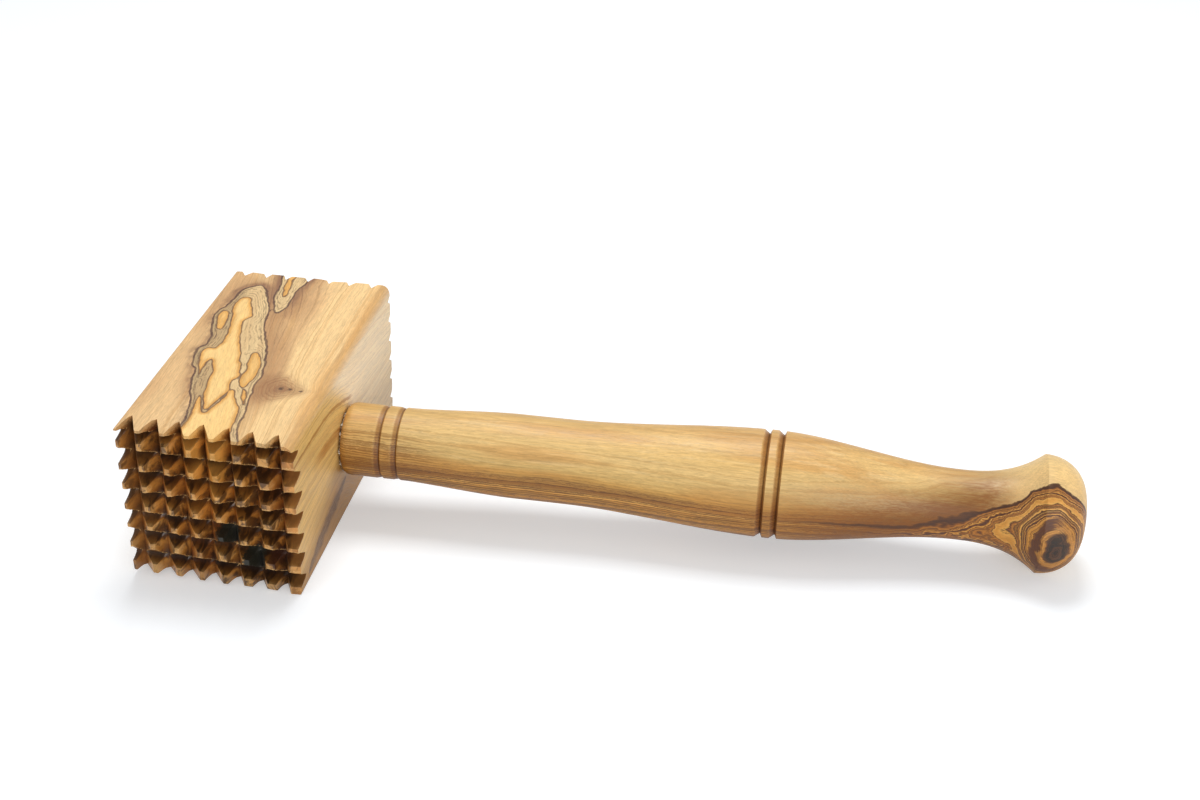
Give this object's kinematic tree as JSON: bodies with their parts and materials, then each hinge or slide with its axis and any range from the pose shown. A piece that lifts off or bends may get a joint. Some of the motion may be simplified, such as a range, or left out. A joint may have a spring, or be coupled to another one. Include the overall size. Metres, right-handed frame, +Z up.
{
  "type": "meat mallet",
  "caption": "Wooden meat mallet: a block head with pyramid teeth cut across both ends, and a turned handle glued into its side.",
  "frame": {"origin": "middle of the head's flat underside, on the face that the mallet lies on", "axes": "+X runs along the handle from the head to the pommel; +Y runs along the head from its coarse toothed end to its fine toothed end; +Z is up, away from the underside"},
  "size_m": [0.3, 0.1164, 0.0552],
  "materials": {
    "head_wood": "oiled olive wood, satin, with dark heartwood figure and rougher cut teeth",
    "handle_wood": "oiled olive wood, turned and sanded, satin, fine grain along the handle and a dark knot in the pommel",
    "dried_glue": "hard, semi-matt wood glue with trapped dust"
  },
  "bodies": {
    "root": {"head": "head_wood", "handle": "handle_wood", "glue_ring": "dried_glue"}
  },
  "joints": []
}
